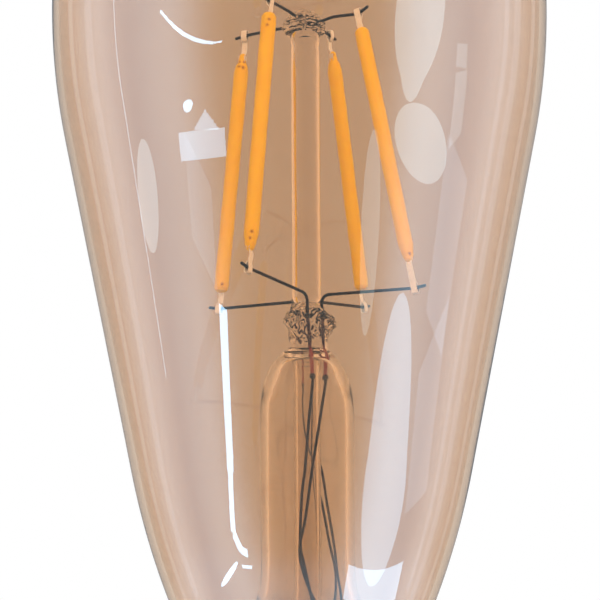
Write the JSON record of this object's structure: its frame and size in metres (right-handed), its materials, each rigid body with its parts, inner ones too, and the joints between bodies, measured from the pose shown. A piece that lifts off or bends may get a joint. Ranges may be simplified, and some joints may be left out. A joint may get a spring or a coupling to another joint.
{
  "type": "smart light bulb",
  "caption": "Teardrop filament light bulb in tinted glass with a glass stem, leaning phosphor filaments and a collared Edison screw base.",
  "frame": {"origin": "tip of the centre contact, on the bulb's axis", "axes": "+Z along the bulb's axis from the base to the dome; +X to the right and -Y towards a viewer facing the bulb, with the first filament at 30 degrees clockwise of +X"},
  "size_m": [0.064, 0.064, 0.1409],
  "materials": {
    "amber_glass": "clear rose-amber tinted blown glass, polished",
    "stem_glass": "clear lead-free stem glass, fire polished",
    "lead_wire": "dull nickel-plated support wire",
    "dumet": "borated copper-clad seal wire, dark red",
    "copper_wire": "tinned copper wire",
    "phosphor": "satin phosphor-filled silicone",
    "strip": "translucent ceramic strip",
    "chips": "bonded light-emitting chips",
    "tab_metal": "bright tinned steel tab",
    "collar_plastic": "fine-textured white moulding",
    "cement": "cured cement",
    "shell_metal": "nickel-plated brass sheet",
    "shield_metal": "tinned shield can",
    "insulator": "black glassy insulator",
    "board": "green solder mask on glass-epoxy",
    "can_metal": "sleeved aluminium can",
    "ferrite": "sintered ferrite",
    "film_red": "dipped film capacitor",
    "chip_black": "moulded package",
    "part_body": "lacquered small parts",
    "solder": "solder",
    "live_sleeve": "red wire insulation",
    "neutral_sleeve": "white wire insulation"
  },
  "bodies": {
    "root": {"glass_envelope": "amber_glass", "stem_flare": "stem_glass", "stem_press": "stem_glass", "exhaust_tube": "stem_glass", "support_rod": "stem_glass", "top_button": "stem_glass", "bridge_wire_1": "lead_wire", "bridge_wire_2": "lead_wire", "inner_lead_1": "lead_wire", "inner_lead_2": "lead_wire", "inner_lead_3": "lead_wire", "inner_lead_4": "lead_wire", "lead_welds": "lead_wire", "dumet_seals": "dumet", "outer_lead_1": "copper_wire", "outer_lead_2": "copper_wire", "outer_lead_3": "copper_wire", "outer_lead_4": "copper_wire", "inductor_coil": "copper_wire", "wifi_antenna": "copper_wire", "filament_coat_1": "phosphor", "filament_coat_2": "phosphor", "filament_coat_3": "phosphor", "filament_coat_4": "phosphor", "filament_strip_1": "strip", "filament_strip_2": "strip", "filament_strip_3": "strip", "filament_strip_4": "strip", "filament_chips_1": "chips", "filament_chips_2": "chips", "filament_chips_3": "chips", "filament_chips_4": "chips", "filament_tabs_1": "tab_metal", "filament_tabs_2": "tab_metal", "filament_tabs_3": "tab_metal", "filament_tabs_4": "tab_metal", "collar": "collar_plastic", "cement_ring": "cement", "screw_shell": "shell_metal", "centre_contact": "shell_metal", "wifi_shield": "shield_metal", "base_insulator": "insulator", "driver_board": "board", "wifi_board": "board", "bulk_capacitor": "can_metal", "inductor_core": "ferrite", "film_capacitor": "film_red", "bridge_rectifier": "chip_black", "driver_chip": "chip_black", "channel_mosfets": "chip_black", "board_header": "chip_black", "fuse_resistor": "part_body", "surface_parts": "part_body", "output_joints": "solder", "live_wire": "live_sleeve", "neutral_wire": "neutral_sleeve"}
  },
  "joints": []
}
